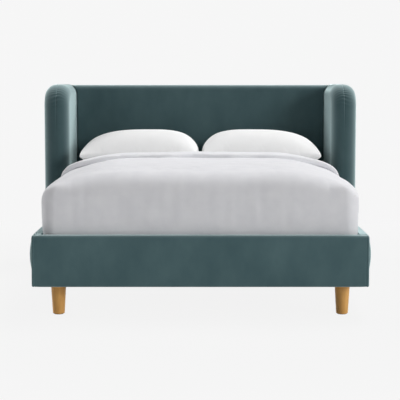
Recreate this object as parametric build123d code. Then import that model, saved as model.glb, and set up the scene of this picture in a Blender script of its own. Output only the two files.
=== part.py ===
from build123d import *

import os

# An upholstered winged bed for a 1500 x 2000 mattress, with its bedding.
# Lengths are in millimetres. X runs across the bed, Y from foot to head, Z up.
# The origin is on the floor, under the middle of the whole bed.

# Mattress and the room round it
mattress_width = 1500.0
mattress_length = 2000.0
mattress_height = 270.0
mattress_corner_radius = 55.0
mattress_edge_radius = 14.0
mattress_side_play = 12.5
mattress_foot_play = 12.5
mattress_head_play = 7.5

# Heights of the frame
leg_height = 146.0
glide_thickness = 3.0
rail_height = 246.0
headboard_top = 1100.0
wing_top = 1104.0

# Rails
foot_rail_thickness = 50.0
foot_rail_foam = 14.0
side_rail_thickness = 39.0
side_core_thickness = 22.0
side_rail_bulge = 17.0
bulge_top_drop = 7.0
bulge_middle_drop = 98.0
bulge_bottom_drop = 204.0
rail_top_foam = 9.0
rail_end_foam = 10.0
rail_bottom_cover = 3.0
rail_top_radius = 20.0
rail_edge_radius = 8.0

# Headboard and wings
pad_thickness = 60.0
head_core_thickness = 37.0
lining_thickness = 3.0
lining_inset = 14.0
pad_top_radius = 38.0
pad_back_radius = 12.0
pad_top_foam = 14.0
pad_rail_gap = 4.0
wing_thickness = 147.0
wing_well_clearance = 14.5
wing_splay = 26.0
wing_reach = 300.0
wing_corner_radius = 135.0
wing_outer_radius_share = 0.49
wing_inner_radius_share = 0.45
wing_front_foam = 72.0
wing_outer_foam = 26.0
wing_inner_foam = 14.0
wing_top_foam = 76.0
wing_notch_gap = 1.0
corner_middle_share = 0.3

# Plates that join the wings to the headboard
wing_plate_length = 110.0
wing_plate_width = 42.0
wing_plate_thickness = 3.0
wing_plate_height_shares = (0.14, 0.47, 0.8)
wing_plate_hole_pitch = 26.0

# Slats and what carries them
slat_count = 14
slat_width = 80.0
slat_thickness = 20.0
slat_edge_radius = 3.0
slat_end_gap = 1.0
ledge_width = 30.0
ledge_height = 30.0
slat_top_drop = 75.0
ledge_screw_count = 7
centre_rail_width = 40.0
centre_rail_height = 60.0
cup_thickness = 3.0
cup_length = 50.0
cup_ear = 28.0
cup_gap = 0.3

# Corner blocks and steel corner brackets
block_size = 150.0
block_height = 40.0
block_nose = 34.0
bracket_flange = 62.0
bracket_thickness = 3.0
bracket_height = 62.0
bracket_lift = 48.0
bracket_bolt_pitch = 32.0

# Legs
leg_top_diameter = 74.0
leg_foot_diameter = 57.0
leg_edge_radius = 3.0
leg_inset = 76.0
stud_diameter = 8.0
stud_in_block = 34.0
stud_in_leg = 42.0
glide_diameter = 44.0

# Centre leg with its levelling foot
centre_leg_diameter = 38.0
centre_plate_size = 90.0
centre_plate_thickness = 4.0
centre_foot_diameter = 50.0
centre_foot_thickness = 12.0
centre_stem_diameter = 10.0
centre_stem_length = 75.0
centre_foot_travel = 15.0
centre_foot_spare = 6.0

# Screws and bolts
bolt_diameter = 8.0
bolt_head_diameter = 14.0
bolt_head_height = 5.0
bolt_reach = 16.0
screw_diameter = 5.0
screw_head_diameter = 10.0
screw_head_height = 3.0
ledge_screw_length = 44.0
slat_screw_length = 40.0
cup_screw_length = 24.0
plate_screw_length = 22.0

# Bedding
duvet_half_width = 787.0
duvet_belly_height = 546.0
duvet_tuck_depth = 20.0
duvet_hem_thickness = 4.5
duvet_rail_gap = 2.0
duvet_front_height = 565.0
duvet_nose_depth = 115.0
duvet_nose_height = 690.0
duvet_swell_height = 712.0
duvet_crown_height = 690.0
duvet_droop = 50.0
duvet_flat_half = 400.0
duvet_droop_half = 700.0
duvet_corner_radius = 64.0
duvet_flare_length = 260.0
fold_width = 330.0
fold_gap = 8.0
fold_rise = 13.0
fold_side_rise = 6.0
fold_back_radius = 46.0
fold_lip_radius = 9.0
pillow_width = 734.0
pillow_depth = 450.0
pillow_seam_height = 88.0
pillow_crown = 152.0
pillow_belly = 104.0
pillow_draw_in = 14.0
pillow_seam_thickness = 10.0
pillow_middle_gap = 4.0
pillow_head_gap = 3.0

# Shares that shape the bedding's round stretches
lean_out_share = 0.56
lean_up_share = 0.5
shoulder_in_share = 0.22
shoulder_up_share = 0.66
droop_middle_share = 0.3
flare_out_share = 0.7
flare_along_share = 0.5
nose_lean_share = 0.06
swell_place_share = 0.376
climb_middle_share = 0.7
sink_middle_share = 0.65
pillow_fullness_shares = ((0, 0), (0.05, 0.42), (0.2, 0.84), (0.5, 1), (0.8, 0.84), (0.95, 0.42), (1, 0))
pillow_shoulder_share = 0.66
pillow_shoulder_height_share = 0.84
pillow_side_share = 0.93
pillow_side_height_share = 0.62

# Clearances
rest_gap = 0.3
lift_gap = 1.2
turning_gap = 0.3
hole_gap = 0.1
overrun = 20.0

# Places that follow from the sizes
rail_bottom = leg_height + glide_thickness
rail_top = rail_bottom + rail_height
well_half = mattress_width / 2 + mattress_side_play
rail_outer_half = well_half + side_rail_thickness
wing_gap_panel_half = well_half + wing_well_clearance
wing_gap_front_half = wing_gap_panel_half + wing_splay
wing_outer_half = wing_gap_front_half + wing_thickness
wing_frame_top = wing_top - wing_top_foam
head_thickness = pad_thickness + head_core_thickness + lining_thickness
well_length = mattress_foot_play + mattress_length + mattress_head_play
bed_length = foot_rail_thickness + well_length + head_thickness
foot_face = -bed_length / 2
well_foot = foot_face + foot_rail_thickness
panel_front = well_foot + well_length
core_front = panel_front + pad_thickness
core_back = core_front + head_core_thickness
wing_front = panel_front - wing_reach
slat_top = rail_top - slat_top_drop
slat_bottom = slat_top - slat_thickness
ledge_bottom = slat_bottom - ledge_height
centre_rail_bottom = slat_bottom - centre_rail_height
mattress_foot = well_foot + mattress_foot_play
mattress_bottom = slat_top + rest_gap
mattress_top = mattress_bottom + mattress_height
bedding_bottom = mattress_top + rest_gap
leg_x = well_half - leg_inset
leg_places = (
    ("foot", well_foot, 1),
    ("head", core_front, -1),
)
pillow_front = panel_front - pillow_head_gap - pillow_depth
fold_back = pillow_front - fold_gap
fold_front = fold_back - fold_width


def wing_gap_half(y):
    """Half the room between the wings at a place along the bed."""
    return wing_gap_panel_half + wing_splay / wing_reach * (panel_front - y)


def block(x0, x1, y0, y1, z0, z1):
    """A box between two corners."""
    corner = Pos((x0 + x1) / 2, (y0 + y1) / 2, (z0 + z1) / 2)
    return corner * Box(x1 - x0, y1 - y0, z1 - z0)


def prism(points, z0, z1):
    """A plan outline of straight lines, raised from z0 to z1."""
    face = make_face(Polyline(*points, close=True))
    return Pos(0, 0, z0) * extrude(face, amount=z1 - z0, dir=(0, 0, 1))


def rod(radius, length, start, direction):
    """A round bar from a start point along a direction."""
    bar = Cylinder(radius, length, align=(Align.CENTER, Align.CENTER, Align.MIN))
    return Plane(origin=start, z_dir=direction) * bar


def cone(radius, end_radius, length, start, direction):
    """A tapered round bar from a start point along a direction."""
    bar = Cone(radius, end_radius, length, align=(Align.CENTER, Align.CENTER, Align.MIN))
    return Plane(origin=start, z_dir=direction) * bar


def bolt(point, direction):
    """A pan head bolt whose head sits on the surface at the point."""
    back = Vector(*direction) * -1
    head = rod(bolt_head_diameter / 2, bolt_head_height, point, back)
    shank = rod(bolt_diameter / 2, bracket_thickness + bolt_reach, point, direction)
    return head + shank


def bolt_hole(point, direction):
    """The hole that a bolt's shank fills, with its clearance."""
    radius = bolt_diameter / 2 + hole_gap
    return rod(radius, bracket_thickness + bolt_reach + hole_gap, point, direction)


def screw(point, direction, length, grow=0.0):
    """A countersunk screw with its head flush at the point."""
    head = cone(
        screw_head_diameter / 2 + grow, screw_diameter / 2 + grow, screw_head_height, point, direction
    )
    shank = rod(screw_diameter / 2 + grow, length + grow, point, direction)
    return head + shank


def screw_hole(point, direction, length):
    """The countersunk hole that a screw fills, with its clearance."""
    return screw(point, direction, length, grow=hole_gap)


def edges_near(solid, points):
    """The edge whose middle lies nearest to each point."""
    return [min(solid.edges(), key=lambda edge: (edge @ 0.5 - Vector(*p)).length) for p in points]


def cut_all(solid, tools):
    """The solid with every tool taken out of it."""
    for tool in tools:
        solid = solid - tool
    return solid


def save(name, shape):
    """Write one sub-part to its own file."""
    shape.label = name
    export_step(shape, os.path.join("parts", name + ".step"))


def save_group(name, solids):
    """Write like fasteners to one file as separate solids."""
    save(name, Compound(children=[piece for solid in solids for piece in solid.solids()]))


def save_pair(name, right_shape):
    """Write a right-hand sub-part and its mirror image."""
    save(name + "_right", right_shape)
    save(name + "_left", mirror(right_shape, about=Plane.YZ))


def on_both_sides(shapes):
    """Right-hand shapes with their mirror images."""
    return shapes + [mirror(shape, about=Plane.YZ) for shape in shapes]


def bracket_bolt_places(y, toward):
    """Where the bolts of a right-hand corner bracket enter the rail and the end board."""
    middle = rail_bottom + bracket_lift + bracket_height / 2
    arm = bracket_flange / 2 + bracket_thickness
    places = []
    for side in (-1, 1):
        z = middle + side * bracket_bolt_pitch / 2
        places.append(((well_half - bracket_thickness, y + toward * arm, z), (1, 0, 0)))
        places.append(((well_half - arm, y + toward * bracket_thickness, z), (0, -toward, 0)))
    return places


def all_bolt_places():
    """Bolt places of both right-hand corner brackets."""
    return [place for _, y, toward in leg_places for place in bracket_bolt_places(y, toward)]


def ledge_screw_places():
    """Where screws hold the right-hand ledge to its rail."""
    run = core_front - well_foot
    step = run / ledge_screw_count
    z = ledge_bottom + ledge_height / 2
    return [
        ((well_half - ledge_width, well_foot + step * (index + 0.5), z), (1, 0, 0))
        for index in range(ledge_screw_count)
    ]


def slat_middles():
    """Places of the slats along the bed."""
    pitch = (core_front - well_foot) / slat_count
    return [well_foot + pitch * (index + 0.5) for index in range(slat_count)]


def slat_screw_places():
    """Where screws hold the right-hand ends of the slats to the ledge."""
    x = well_half - ledge_width / 2
    return [((x, y, slat_top), (0, 0, -1)) for y in slat_middles()]


def cup_screw_places():
    """Where screws hold the centre rail's cups to the end boards."""
    z = slat_bottom - centre_rail_height / 2
    x = centre_rail_width / 2 + cup_gap + cup_thickness + cup_ear / 2
    places = []
    for _, y, toward in leg_places:
        for side in (-1, 1):
            places.append(((side * x, y + toward * cup_thickness, z), (0, -toward, 0)))
    return places


def wing_plate_heights():
    """Heights of the joining plates behind the wing's frame."""
    run = wing_frame_top - rail_bottom
    return [rail_bottom + share * run for share in wing_plate_height_shares]


def plate_screw_places():
    """Where screws hold the right-hand joining plates to headboard and wing."""
    places = []
    for z in wing_plate_heights():
        for step in (-1.5, -0.5, 0.5, 1.5):
            x = wing_gap_half(core_back) + step * wing_plate_hole_pitch
            places.append(((x, core_back, z), (0, -1, 0)))
    return places


def wing_plate_blocks(grow=0.0):
    """The right-hand joining plates, let into the boards' back faces."""
    x = wing_gap_half(core_back)
    half_length = wing_plate_length / 2 + grow
    half_width = wing_plate_width / 2 + grow
    front = core_back - wing_plate_thickness - grow
    return [
        block(x - half_length, x + half_length, front, core_back, z - half_width, z + half_width)
        for z in wing_plate_heights()
    ]


def make_rail_bolts_and_screws():
    """Bolts of the corner brackets and screws of the ledges."""
    bolts = [bolt(*place) for place in all_bolt_places()]
    save_group("corner_bolts", on_both_sides(bolts))
    screws = [screw(*place, ledge_screw_length) for place in ledge_screw_places()]
    save_group("ledge_screws", on_both_sides(screws))


def side_rail_outline():
    """Cross-section of the right-hand side rail, with its bulging outer face."""
    top_flush = (rail_outer_half, rail_top - bulge_top_drop)
    middle = (rail_outer_half + side_rail_bulge, rail_top - bulge_middle_drop)
    bottom_flush = (rail_outer_half, rail_top - bulge_bottom_drop)
    inner_top = (well_half, rail_top)
    shoulder = (rail_outer_half - bulge_top_drop, rail_top)
    toe = (rail_outer_half - rail_edge_radius, rail_bottom)
    return [
        Line(inner_top, shoulder),
        JernArc(shoulder, (1, 0), bulge_top_drop, -90),
        ThreePointArc(top_flush, middle, bottom_flush),
        Line(bottom_flush, (rail_outer_half, rail_bottom + rail_edge_radius)),
        JernArc((rail_outer_half, rail_bottom + rail_edge_radius), (0, -1), rail_edge_radius, -90),
        Line(toe, (well_half, rail_bottom)),
        Line((well_half, rail_bottom), inner_top),
    ]


def side_rail_core():
    """The board inside the right-hand side rail, drilled for bolts and screws."""
    board = block(
        well_half,
        well_half + side_core_thickness,
        well_foot,
        core_front,
        rail_bottom + rail_bottom_cover,
        rail_top - rail_top_foam,
    )
    holes = [bolt_hole(p, d) for p, d in all_bolt_places() if d[0]]
    holes += [screw_hole(*place, ledge_screw_length) for place in ledge_screw_places()]
    return cut_all(board, holes)


def make_side_rails():
    """Side rails: a board in each, wrapped in foam and velvet."""
    section = make_face([Plane.XZ * edge for edge in side_rail_outline()])
    length = core_front - well_foot
    wrap = Pos(0, well_foot, 0) * extrude(section, amount=length, dir=(0, 1, 0))
    pocket = block(
        well_half - overrun,
        well_half + side_core_thickness,
        well_foot - overrun,
        core_front + overrun,
        rail_bottom + rail_bottom_cover,
        rail_top - rail_top_foam,
    )
    save_pair("side_rail_upholstery", wrap - pocket)
    save_pair("side_rail_core", side_rail_core())


def make_foot_rail():
    """Foot rail: a board wrapped in foam and velvet on its front, top and ends."""
    wrap = block(-rail_outer_half, rail_outer_half, foot_face, well_foot, rail_bottom, rail_top)
    middle_z = rail_bottom + rail_height / 2
    top_front = (0, foot_face, rail_top)
    wrap = fillet(edges_near(wrap, [top_front]), rail_top_radius)
    small = [
        (0, foot_face, rail_bottom),
        (rail_outer_half, foot_face, middle_z),
        (-rail_outer_half, foot_face, middle_z),
    ]
    wrap = fillet(edges_near(wrap, small), rail_edge_radius)
    core_half = rail_outer_half - rail_end_foam
    sizes = (rail_bottom + rail_bottom_cover, rail_top - rail_top_foam)
    core = block(-core_half, core_half, foot_face + foot_rail_foam, well_foot, *sizes)
    pocket = block(-core_half, core_half, foot_face + foot_rail_foam, well_foot + overrun, *sizes)
    save("foot_rail_upholstery", wrap - pocket)
    holes = [bolt_hole(p, d) for p, d in all_bolt_places() if d[1] < 0]
    holes = on_both_sides(holes)
    holes += [screw_hole(p, d, cup_screw_length) for p, d in cup_screw_places() if d[1] < 0]
    save("foot_rail_core", cut_all(core, holes))


def head_outline(y0, y1, inset=0.0):
    """Plan of a piece that spans between the wings."""
    return [
        (-wing_gap_half(y0) + inset, y0),
        (wing_gap_half(y0) - inset, y0),
        (wing_gap_half(y1) - inset, y1),
        (-wing_gap_half(y1) + inset, y1),
    ]


def make_headboard():
    """Headboard: a board, its padded cover and the lining on its back."""
    core = prism(head_outline(core_front, core_back), rail_bottom, headboard_top - pad_top_foam)
    holes = [bolt_hole(p, d) for p, d in all_bolt_places() if d[1] > 0]
    holes = on_both_sides(holes)
    holes += [screw_hole(p, d, cup_screw_length) for p, d in cup_screw_places() if d[1] > 0]
    holes += on_both_sides(wing_plate_blocks())
    holes += on_both_sides([screw_hole(*place, plate_screw_length) for place in plate_screw_places()])
    pad = prism(head_outline(panel_front, core_back), rail_top + pad_rail_gap, headboard_top)
    pad = fillet(edges_near(pad, [(0, panel_front, headboard_top)]), pad_top_radius)
    pad = fillet(edges_near(pad, [(0, core_back, headboard_top)]), pad_back_radius)
    save("headboard_upholstery", pad - core)
    save("headboard_core", cut_all(core, holes))
    lining_half = wing_outer_half - lining_inset
    lining = block(
        -lining_half,
        lining_half,
        core_back,
        core_back + lining_thickness,
        rail_bottom + lining_inset,
        headboard_top - lining_inset,
    )
    save("back_lining", lining)


def wing_block():
    """Outer form of the right-hand wing, rounded round its front and top."""
    plan = [
        (wing_gap_half(wing_front), wing_front),
        (wing_outer_half, wing_front),
        (wing_outer_half, core_back),
        (wing_gap_half(core_back), core_back),
    ]
    wing = prism(plan, rail_bottom, wing_top)
    middle_x = (wing_gap_half(wing_front) + wing_outer_half) / 2
    wing = fillet(edges_near(wing, [(middle_x, wing_front, wing_top)]), wing_corner_radius)
    middle_y = (wing_front + wing_corner_radius + core_back) / 2
    middle_z = (rail_bottom + wing_top - wing_corner_radius) / 2
    corner = corner_middle_share * wing_corner_radius
    for x_of, radius in (
        (lambda y: wing_outer_half, wing_outer_radius_share * wing_thickness),
        (wing_gap_half, wing_inner_radius_share * wing_thickness),
    ):
        rim = [
            (x_of(wing_front), wing_front, middle_z),
            (x_of(wing_front + corner), wing_front + corner, wing_top - corner),
            (x_of(middle_y), middle_y, wing_top),
        ]
        wing = fillet(edges_near(wing, rim), radius)
    return wing


def wing_frame_form():
    """The right-hand wing's wooden frame before it is drilled."""
    front = wing_front + wing_front_foam
    plan = [
        (wing_gap_half(core_front), core_front),
        (wing_gap_half(core_back), core_back),
        (wing_outer_half - wing_outer_foam, core_back),
        (wing_outer_half - wing_outer_foam, front),
        (wing_gap_half(front) + wing_inner_foam, front),
        (wing_gap_half(core_front) + wing_inner_foam, core_front),
    ]
    frame = prism(plan, rail_bottom, wing_frame_top)
    middle_x = (wing_gap_half(front) + wing_inner_foam + wing_outer_half - wing_outer_foam) / 2
    top_front = (middle_x, front, wing_frame_top)
    return fillet(edges_near(frame, [top_front]), wing_corner_radius - wing_front_foam)


def make_wings():
    """Wings: a wooden frame in each, padded and covered, notched over the side rail."""
    notch = block(
        well_half,
        rail_outer_half + side_rail_bulge + wing_notch_gap,
        wing_front - overrun,
        core_front,
        rail_bottom - overrun,
        rail_top + wing_notch_gap,
    )
    form = wing_frame_form()
    save_pair("wing_upholstery", wing_block() - form - notch)
    holes = wing_plate_blocks()
    holes += [screw_hole(*place, plate_screw_length) for place in plate_screw_places()]
    save_pair("wing_frame", cut_all(form - notch, holes))


def make_wing_plates():
    """Steel plates and screws that join the wings to the headboard."""
    holes = [screw_hole(*place, plate_screw_length) for place in plate_screw_places()]
    plates = [cut_all(plate, holes) for plate in wing_plate_blocks()]
    save_group("wing_plates", on_both_sides(plates))
    screws = [screw(*place, plate_screw_length) for place in plate_screw_places()]
    save_group("wing_plate_screws", on_both_sides(screws))


def make_ledges():
    """Battens along the side rails that carry the slats."""
    ledge = block(well_half - ledge_width, well_half, well_foot, core_front, ledge_bottom, slat_bottom)
    holes = [screw_hole(*place, ledge_screw_length) for place in ledge_screw_places()]
    holes += [screw_hole(*place, slat_screw_length) for place in slat_screw_places()]
    save_pair("slat_ledge", cut_all(ledge, holes))


def make_slats():
    """Wooden slats across the bed, screwed to the ledges."""
    reach = well_half - slat_end_gap
    places = slat_screw_places()
    for index, y in enumerate(slat_middles()):
        slat = block(-reach, reach, y - slat_width / 2, y + slat_width / 2, slat_bottom, slat_top)
        edges = [(0, y + side * slat_width / 2, slat_top) for side in (-1, 1)]
        slat = fillet(edges_near(slat, edges), slat_edge_radius)
        holes = on_both_sides([screw_hole(*places[index], slat_screw_length)])
        save("slat_%02d" % (index + 1), cut_all(slat, holes))
    screws = [screw(*place, slat_screw_length) for place in places]
    save_group("slat_screws", on_both_sides(screws))


def corner_bracket(y, toward):
    """A steel angle in a right-hand corner, between the rail and the end board."""
    z0 = rail_bottom + bracket_lift
    z1 = z0 + bracket_height
    far = y + toward * (bracket_flange + bracket_thickness)
    near = y + toward * bracket_thickness
    on_rail = block(well_half - bracket_thickness, well_half, min(y, far), max(y, far), z0, z1)
    reach = well_half - bracket_flange - bracket_thickness
    on_end = block(reach, well_half, min(y, near), max(y, near), z0, z1)
    holes = [bolt_hole(*place) for place in bracket_bolt_places(y, toward)]
    return cut_all(on_rail + on_end, holes)


def corner_block(y, toward):
    """A wooden block glued into a right-hand corner, which takes the leg's stud."""
    plan = [
        (well_half, y),
        (well_half - block_size, y),
        (well_half - block_size, y + toward * block_nose),
        (well_half - block_nose, y + toward * block_size),
        (well_half, y + toward * block_size),
    ]
    form = prism(plan, rail_bottom, rail_bottom + block_height)
    start = (leg_x, y + toward * leg_inset, rail_bottom - overrun)
    return form - rod(stud_diameter / 2 + hole_gap, overrun + stud_in_block, start, (0, 0, 1))


def leg(y, toward):
    """A tapered oak leg with a bore for its stud."""
    place = (leg_x, y + toward * leg_inset, glide_thickness)
    turned = cone(leg_foot_diameter / 2, leg_top_diameter / 2, leg_height, place, (0, 0, 1))
    rim = turned.edges().filter_by(GeomType.CIRCLE).sort_by(Axis.Z)[0]
    turned = fillet(rim, leg_edge_radius)
    start = (leg_x, y + toward * leg_inset, rail_bottom)
    return turned - rod(stud_diameter / 2 + hole_gap, stud_in_leg, start, (0, 0, -1))


def make_corners():
    """Corner brackets, corner blocks, legs, studs and glides."""
    studs = []
    glides = []
    for name, y, toward in leg_places:
        leg_y = y + toward * leg_inset
        save_pair("corner_bracket_" + name, corner_bracket(y, toward))
        save_pair("corner_block_" + name, corner_block(y, toward))
        save_pair("leg_" + name, leg(y, toward))
        start = (leg_x, leg_y, rail_bottom - stud_in_leg)
        studs.append(rod(stud_diameter / 2, stud_in_leg + stud_in_block, start, (0, 0, 1)))
        glides.append(rod(glide_diameter / 2, glide_thickness, (leg_x, leg_y, 0), (0, 0, 1)))
    save_group("leg_studs", on_both_sides(studs))
    save_group("leg_glides", on_both_sides(glides))


def centre_cup(y, toward):
    """A steel cup on an end board that carries one end of the centre rail."""
    inner = centre_rail_width / 2 + cup_gap
    outer = inner + cup_thickness
    floor = centre_rail_bottom - cup_thickness
    far = y + toward * cup_length
    near = y + toward * cup_thickness
    box = block(-outer, outer, min(y, far), max(y, far), floor, slat_bottom)
    plate = block(-outer - cup_ear, outer + cup_ear, min(y, near), max(y, near), floor, slat_bottom)
    end = far + toward * overrun
    room = block(-inner, inner, min(near, end), max(near, end), centre_rail_bottom, slat_top)
    holes = [screw_hole(*place, cup_screw_length) for place in cup_screw_places()]
    return cut_all(box + plate - room, holes)


def make_centre():
    """Centre rail in its two cups, with the middle leg and its levelling foot."""
    save("centre_rail_cup_foot", centre_cup(well_foot, 1))
    save("centre_rail_cup_head", centre_cup(core_front, -1))
    save_group("centre_rail_screws", [screw(*place, cup_screw_length) for place in cup_screw_places()])
    half = centre_rail_width / 2
    ends = (well_foot + cup_thickness + cup_gap, core_front - cup_thickness - cup_gap)
    save("centre_rail", block(-half, half, *ends, centre_rail_bottom, slat_bottom))
    plate_half = centre_plate_size / 2
    plate_top = centre_rail_bottom
    plate = block(-half, half, -plate_half, plate_half, plate_top - centre_plate_thickness, plate_top)
    foot_top = centre_foot_thickness + centre_foot_travel + centre_foot_spare
    tube = rod(centre_leg_diameter / 2, plate_top - foot_top, (0, 0, foot_top), (0, 0, 1))
    bore_length = centre_stem_length - foot_top + centre_foot_thickness + centre_foot_travel
    bore_radius = centre_stem_diameter / 2 + turning_gap
    bore = rod(bore_radius, bore_length + centre_foot_spare, (0, 0, foot_top), (0, 0, 1))
    save("centre_leg", plate + tube - bore)
    disc = rod(centre_foot_diameter / 2, centre_foot_thickness, (0, 0, 0), (0, 0, 1))
    stem_start = (0, 0, centre_foot_thickness)
    stem = rod(centre_stem_diameter / 2, centre_stem_length, stem_start, (0, 0, 1))
    save("centre_foot", disc + stem)


def make_mattress():
    """The mattress, a rounded block on the slats."""
    half = mattress_width / 2
    head = mattress_foot + mattress_length
    form = block(-half, half, mattress_foot, head, mattress_bottom, mattress_top)
    form = fillet(form.edges().filter_by(Axis.Z), mattress_corner_radius)
    rims = form.faces().sort_by(Axis.Z)
    form = fillet(rims[0].edges() + rims[-1].edges(), mattress_edge_radius)
    save("mattress", form)


def duvet_side_outline(crown, rise):
    """Right half of the duvet's cross-section, from its tucked edge to its crown."""
    hem = rail_top - duvet_tuck_depth
    hem_x = mattress_width / 2 + lift_gap + duvet_hem_thickness
    half = duvet_half_width + rise
    belly = (half, duvet_belly_height)
    shoulder = (duvet_droop_half, duvet_crown_height - duvet_droop + rise)
    lean = (hem_x + lean_out_share * (half - hem_x), hem + lean_up_share * (belly[1] - hem))
    round_x = half - shoulder_in_share * (half - shoulder[0])
    round_z = belly[1] + shoulder_up_share * (shoulder[1] - belly[1])
    droop_x = (duvet_flat_half + duvet_droop_half) / 2
    droop_z = crown - droop_middle_share * (crown - shoulder[1])
    return [
        Line((0, hem), (hem_x, hem)),
        ThreePointArc((hem_x, hem), lean, belly),
        ThreePointArc(belly, (round_x, round_z), shoulder),
        ThreePointArc(shoulder, (droop_x, droop_z), (duvet_flat_half, crown)),
        Line((duvet_flat_half, crown), (0, crown)),
        Line((0, crown), (0, hem)),
    ]


def duvet_plan_outline(front):
    """Right half of the duvet seen from above: a round front corner, then a fuller side."""
    skirt = well_half - duvet_rail_gap
    half = duvet_half_width + fold_side_rise
    corner = (skirt - duvet_corner_radius, front)
    turned = (skirt, front + duvet_corner_radius)
    full = (half, turned[1] + duvet_flare_length)
    flare = (
        skirt + flare_out_share * (half - skirt),
        turned[1] + flare_along_share * duvet_flare_length,
    )
    return [
        Line((0, front), corner),
        JernArc(corner, (1, 0), duvet_corner_radius, 90),
        ThreePointArc(turned, flare, full),
        Line(full, (half, fold_back)),
        Line((half, fold_back), (0, fold_back)),
        Line((0, fold_back), (0, front)),
    ]


def doubled(right):
    """A right-hand half joined to its mirror image."""
    return right + mirror(right, about=Plane.YZ)


def across(outline, y0, y1):
    """A half cross-section run along the bed and made whole."""
    half = make_face([Plane.XZ * edge for edge in outline])
    return doubled(Pos(0, y0, 0) * extrude(half, amount=y1 - y0, dir=(0, 1, 0)))


def along(outline, half):
    """A lengthwise outline run across the bed."""
    face = make_face([Plane.YZ * edge for edge in outline])
    return doubled(extrude(face, amount=half, dir=(1, 0, 0)))


def upright(outline, z0, z1):
    """A half plan outline raised and made whole."""
    face = make_face(outline)
    return doubled(Pos(0, 0, z0) * extrude(face, amount=z1 - z0, dir=(0, 0, 1)))


def mattress_room(hem):
    """The space in the duvet for the mattress, open at the head."""
    half = mattress_width / 2 + lift_gap
    corner = mattress_corner_radius + lift_gap
    y0 = mattress_foot - lift_gap
    room = block(-half, half, y0, fold_back + overrun, hem - overrun, bedding_bottom)
    middle_z = (hem - overrun + bedding_bottom) / 2
    return fillet(edges_near(room, [(-half, y0, middle_z), (half, y0, middle_z)]), corner)


def make_duvet():
    """The duvet, laid over the mattress and tucked in, with its top edge turned down."""
    hem = rail_top - duvet_tuck_depth
    front = well_foot + duvet_rail_gap
    nose = (front + duvet_nose_depth, duvet_nose_height)
    swell = (nose[0] + swell_place_share * (fold_front - nose[0]), duvet_swell_height)
    climb_z = nose[1] + climb_middle_share * (swell[1] - nose[1])
    sink_z = duvet_crown_height + sink_middle_share * (swell[1] - duvet_crown_height)
    settled = (fold_front, duvet_crown_height)
    profile = [
        Line((front, hem), (front, duvet_front_height)),
        TangentArc((front, duvet_front_height), nose, tangent=(nose_lean_share, 1)),
        ThreePointArc(nose, ((nose[0] + swell[0]) / 2, climb_z), swell),
        ThreePointArc(swell, ((swell[0] + settled[0]) / 2, sink_z), settled),
        Line(settled, (fold_back, duvet_crown_height)),
        Line((fold_back, duvet_crown_height), (fold_back, hem)),
        Line((fold_back, hem), (front, hem)),
    ]
    body = across(duvet_side_outline(duvet_swell_height + fold_rise, 0), front, fold_back)
    body = body & along(profile, wing_outer_half)
    fold_top = duvet_crown_height + fold_rise
    lip = (fold_front, fold_top - fold_lip_radius)
    fold_profile = [
        Line((fold_front, hem), lip),
        JernArc(lip, (0, 1), fold_lip_radius, -90),
        Line((fold_front + fold_lip_radius, fold_top), (fold_back - fold_back_radius, fold_top)),
        JernArc((fold_back - fold_back_radius, fold_top), (1, 0), fold_back_radius, -90),
        Line((fold_back, fold_top - fold_back_radius), (fold_back, hem)),
        Line((fold_back, hem), (fold_front, hem)),
    ]
    band = across(duvet_side_outline(fold_top + fold_rise, fold_side_rise), fold_front, fold_back)
    band = band & along(fold_profile, wing_outer_half)
    top = max(duvet_swell_height, fold_top) + overrun
    plan = upright(duvet_plan_outline(front), hem - overrun, top)
    save("duvet", ((body + band) & plan) - mattress_room(hem))


def pillow_half_outline(half_width, seam, height, up):
    """A pillow's upper or lower outline, full at its shoulders and thin at its seams."""
    shoulder_x = pillow_shoulder_share * half_width
    shoulder_z = seam + pillow_shoulder_height_share * (height - seam)
    side_x = pillow_side_share * half_width
    side_z = seam + pillow_side_height_share * (shoulder_z - seam)
    left = (-shoulder_x, up * shoulder_z)
    right = (shoulder_x, up * shoulder_z)
    return [
        ThreePointArc((-half_width, up * seam), (-side_x, up * side_z), left),
        ThreePointArc(left, (0, up * height), right),
        ThreePointArc(right, (side_x, up * side_z), (half_width, up * seam)),
    ]


def pillow_section(y, half_width, top, bottom):
    """A pillow's cross-section at a place along the bed."""
    seam = pillow_seam_thickness / 2
    centre = ((pillow_width + pillow_middle_gap) / 2, y, bedding_bottom + pillow_seam_height)
    plane = Plane(origin=centre, x_dir=(1, 0, 0), z_dir=(0, -1, 0))
    outline = pillow_half_outline(half_width, seam, top, 1)
    outline += pillow_half_outline(half_width, seam, bottom, -1)
    outline += [Line((side * half_width, -seam), (side * half_width, seam)) for side in (-1, 1)]
    return make_face([plane * edge for edge in outline])


def make_pillows():
    """Two pillows side by side at the headboard, flat where they lie."""
    seam = pillow_seam_thickness
    sections = []
    for place_share, fullness_share in pillow_fullness_shares:
        drawn_share = 1 - (2 * place_share - 1) ** 2
        half_width = pillow_width / 2 - drawn_share * pillow_draw_in
        top = seam + fullness_share * (pillow_crown - seam)
        bottom = seam + fullness_share * (pillow_belly - seam)
        y = pillow_front + place_share * pillow_depth
        sections.append(pillow_section(y, half_width, top, bottom))
    reach = pillow_width + overrun
    bed = block(0, reach, pillow_front - overrun, panel_front + overrun, 0, bedding_bottom)
    save_pair("pillow", loft(sections) - bed)


def main():
    os.makedirs("parts", exist_ok=True)
    make_side_rails()
    make_foot_rail()
    make_headboard()
    make_wings()
    make_wing_plates()
    make_rail_bolts_and_screws()
    make_ledges()
    make_slats()
    make_corners()
    make_centre()
    make_mattress()
    make_duvet()
    make_pillows()


main()
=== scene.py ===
import math

import bmesh
import bpy
import numpy as np
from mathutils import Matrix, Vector, noise


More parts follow.
